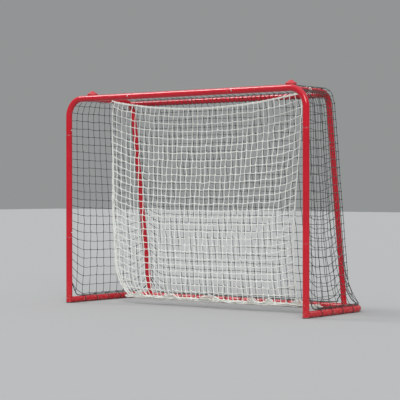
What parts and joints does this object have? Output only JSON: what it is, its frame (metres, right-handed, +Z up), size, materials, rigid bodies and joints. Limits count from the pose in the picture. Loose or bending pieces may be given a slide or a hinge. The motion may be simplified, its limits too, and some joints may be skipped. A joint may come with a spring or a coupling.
{
  "type": "hockey goal",
  "caption": "Tubular steel hockey goal with rounded front frame, ground frame, leaning side stays, hanging drop net and dark outer net.",
  "frame": {"origin": "on the floor, at the centre of the goal's overall width and depth", "axes": "+X to the right when looking into the mouth, +Y from the mouth to the back, +Z up"},
  "size_m": [1.67, 0.6036, 1.2127],
  "materials": {
    "red_paint": "gloss",
    "zinc_steel": "satin",
    "black_plastic": "matte",
    "red_plastic": "gloss",
    "white_cord": "woven",
    "dark_cord": "woven"
  },
  "bodies": {
    "frame": {"base_corner_tube_left": "red_paint", "base_corner_tube_right": "red_paint", "base_rear_tube": "red_paint", "button_spring_base_left": "zinc_steel", "button_spring_base_right": "zinc_steel", "button_spring_crossbar_left": "zinc_steel", "button_spring_crossbar_right": "zinc_steel", "button_spring_post_lower_left": "zinc_steel", "button_spring_post_lower_right": "zinc_steel", "button_spring_post_upper_left": "zinc_steel", "button_spring_post_upper_right": "zinc_steel", "button_spring_stay_lower_left": "zinc_steel", "button_spring_stay_lower_right": "zinc_steel", "button_spring_stay_upper_left": "zinc_steel", "button_spring_stay_upper_right": "zinc_steel", "crossbar_middle_tube": "red_paint", "drop_net_tie_left": "white_cord", "drop_net_tie_right": "white_cord", "foot_cap_left": "black_plastic", "foot_cap_right": "black_plastic", "outer_net_back": "dark_cord", "outer_net_border_rope": "dark_cord", "outer_net_left": "dark_cord", "outer_net_right": "dark_cord", "outer_net_top": "dark_cord", "post_foot_tube_left": "red_paint", "post_foot_tube_right": "red_paint", "post_tube_left": "red_paint", "post_tube_right": "red_paint", "rear_top_bar": "red_paint", "stay_bend_tube_left": "red_paint", "stay_bend_tube_right": "red_paint", "stay_foot_tube_left": "red_paint", "stay_foot_tube_right": "red_paint", "stay_leg_tube_left": "red_paint", "stay_leg_tube_right": "red_paint", "stay_socket_left": "red_paint", "stay_socket_right": "red_paint", "upper_corner_tube_left": "red_paint", "upper_corner_tube_right": "red_paint"},
    "button_crossbar_left": {"snap_button_crossbar_left": "zinc_steel"},
    "button_post_upper_left": {"snap_button_post_upper_left": "zinc_steel"},
    "button_post_lower_left": {"snap_button_post_lower_left": "zinc_steel"},
    "button_base_left": {"snap_button_base_left": "zinc_steel"},
    "button_stay_upper_left": {"snap_button_stay_upper_left": "zinc_steel"},
    "button_stay_lower_left": {"snap_button_stay_lower_left": "zinc_steel"},
    "button_crossbar_right": {"snap_button_crossbar_right": "zinc_steel"},
    "button_post_upper_right": {"snap_button_post_upper_right": "zinc_steel"},
    "button_post_lower_right": {"snap_button_post_lower_right": "zinc_steel"},
    "button_base_right": {"snap_button_base_right": "zinc_steel"},
    "button_stay_upper_right": {"snap_button_stay_upper_right": "zinc_steel"},
    "button_stay_lower_right": {"snap_button_stay_lower_right": "zinc_steel"},
    "screw_lift_left": {"knob_washer_left": "zinc_steel"},
    "hand_screw_left": {"hand_knob_left": "red_plastic"},
    "screw_lift_right": {"knob_washer_right": "zinc_steel"},
    "hand_screw_right": {"hand_knob_right": "red_plastic"},
    "drop_net": {"drop_net": "white_cord", "drop_net_top_rope": "white_cord", "drop_net_bottom_rope": "white_cord"}
  },
  "joints": [
    {"name": "press_crossbar_left", "type": "slide", "parent": "frame", "child": "button_crossbar_left", "axis": [0, 1, 0], "range_m": [0, 0.0053], "stiffness_N_per_m": 2500, "deforming": ["button_spring_crossbar_left"]},
    {"name": "press_post_upper_left", "type": "slide", "parent": "frame", "child": "button_post_upper_left", "axis": [-1, 0, 0], "range_m": [0, 0.0053], "stiffness_N_per_m": 2500, "deforming": ["button_spring_post_upper_left"]},
    {"name": "press_post_lower_left", "type": "slide", "parent": "frame", "child": "button_post_lower_left", "axis": [-1, 0, 0], "range_m": [0, 0.0053], "stiffness_N_per_m": 2500, "deforming": ["button_spring_post_lower_left"]},
    {"name": "press_base_left", "type": "slide", "parent": "frame", "child": "button_base_left", "axis": [0, 1, 0], "range_m": [0, 0.0053], "stiffness_N_per_m": 2500, "deforming": ["button_spring_base_left"]},
    {"name": "press_stay_upper_left", "type": "slide", "parent": "frame", "child": "button_stay_upper_left", "axis": [0, 0.9901, 0.1403], "range_m": [0, 0.005], "stiffness_N_per_m": 2500, "deforming": ["button_spring_stay_upper_left"]},
    {"name": "press_stay_lower_left", "type": "slide", "parent": "frame", "child": "button_stay_lower_left", "axis": [0, 0.9901, 0.1403], "range_m": [0, 0.005], "stiffness_N_per_m": 2500, "deforming": ["button_spring_stay_lower_left"]},
    {"name": "press_crossbar_right", "type": "slide", "parent": "frame", "child": "button_crossbar_right", "axis": [0, 1, 0], "range_m": [0, 0.0053], "stiffness_N_per_m": 2500, "deforming": ["button_spring_crossbar_right"]},
    {"name": "press_post_upper_right", "type": "slide", "parent": "frame", "child": "button_post_upper_right", "axis": [1, 0, 0], "range_m": [0, 0.0053], "stiffness_N_per_m": 2500, "deforming": ["button_spring_post_upper_right"]},
    {"name": "press_post_lower_right", "type": "slide", "parent": "frame", "child": "button_post_lower_right", "axis": [1, 0, 0], "range_m": [0, 0.0053], "stiffness_N_per_m": 2500, "deforming": ["button_spring_post_lower_right"]},
    {"name": "press_base_right", "type": "slide", "parent": "frame", "child": "button_base_right", "axis": [0, 1, 0], "range_m": [0, 0.0053], "stiffness_N_per_m": 2500, "deforming": ["button_spring_base_right"]},
    {"name": "press_stay_upper_right", "type": "slide", "parent": "frame", "child": "button_stay_upper_right", "axis": [0, 0.9901, 0.1403], "range_m": [0, 0.005], "stiffness_N_per_m": 2500, "deforming": ["button_spring_stay_upper_right"]},
    {"name": "press_stay_lower_right", "type": "slide", "parent": "frame", "child": "button_stay_lower_right", "axis": [0, 0.9901, 0.1403], "range_m": [0, 0.005], "stiffness_N_per_m": 2500, "deforming": ["button_spring_stay_lower_right"]},
    {"name": "screw_rise_left", "type": "slide", "parent": "frame", "child": "screw_lift_left", "axis": [0, 0, 1], "range_m": [0, 0.005]},
    {"name": "screw_turn_left", "type": "hinge", "parent": "screw_lift_left", "child": "hand_screw_left", "pos_m": [-0.687, -0.22475, 1.1825], "axis": [0, 0, 1], "range_deg": [0, 1440]},
    {"name": "screw_rise_right", "type": "slide", "parent": "frame", "child": "screw_lift_right", "axis": [0, 0, 1], "range_m": [0, 0.005]},
    {"name": "screw_turn_right", "type": "hinge", "parent": "screw_lift_right", "child": "hand_screw_right", "pos_m": [0.687, -0.22475, 1.1825], "axis": [0, 0, 1], "range_deg": [0, 1440]},
    {"name": "drop_net_swing", "type": "hinge", "parent": "frame", "child": "drop_net", "pos_m": [0, -0.08075, 1.15861], "axis": [1, 0, 0], "range_deg": [-15, 12]}
  ],
  "couplings": [
    {"joint": "screw_turn_left", "follows": "screw_rise_left", "rad_per_m": 5026.5},
    {"joint": "screw_turn_right", "follows": "screw_rise_right", "rad_per_m": 5026.5}
  ]
}
